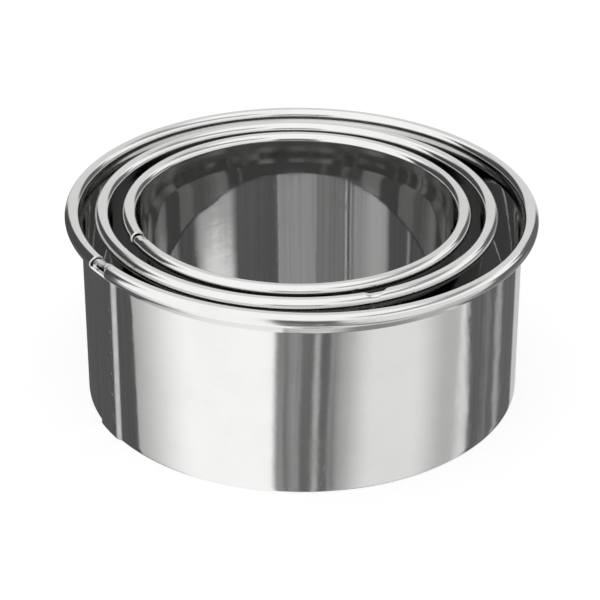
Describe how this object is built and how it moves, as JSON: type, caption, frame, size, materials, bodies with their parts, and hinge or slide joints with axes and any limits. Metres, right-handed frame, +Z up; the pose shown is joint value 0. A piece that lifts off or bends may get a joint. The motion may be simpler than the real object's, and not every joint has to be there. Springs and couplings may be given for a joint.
{
  "type": "nested round cutter set",
  "caption": "Nested set of round pastry and biscuit cutters, each a polished sheet ring with an outward curled hollow rim and a lapped, spot-welded seam.",
  "frame": {"origin": "centre of the large cutter at its cutting edge, on the surface that the set stands on", "axes": "+Z up along the cutters' axes, from cutting edge to curled rim; -Y faces the viewer in the picture, +X to the viewer's right"},
  "size_m": [0.0952, 0.0952, 0.04],
  "materials": {
    "polished_steel": "mirror-polished stainless steel sheet",
    "weld_metal": "satin spot weld in stainless steel"
  },
  "bodies": {
    "large_cutter": {"large_band": "polished_steel", "large_spot_welds": "weld_metal"},
    "medium_cutter": {"medium_band": "polished_steel", "medium_spot_welds": "weld_metal"},
    "small_cutter": {"small_band": "polished_steel", "small_spot_welds": "weld_metal"}
  },
  "joints": [
    {"name": "medium_lift", "type": "slide", "parent": "large_cutter", "child": "medium_cutter", "axis": [0, 0, 1], "range_m": [0, 0.045]},
    {"name": "small_lift", "type": "slide", "parent": "large_cutter", "child": "small_cutter", "axis": [0, 0, 1], "range_m": [0, 0.09]}
  ]
}
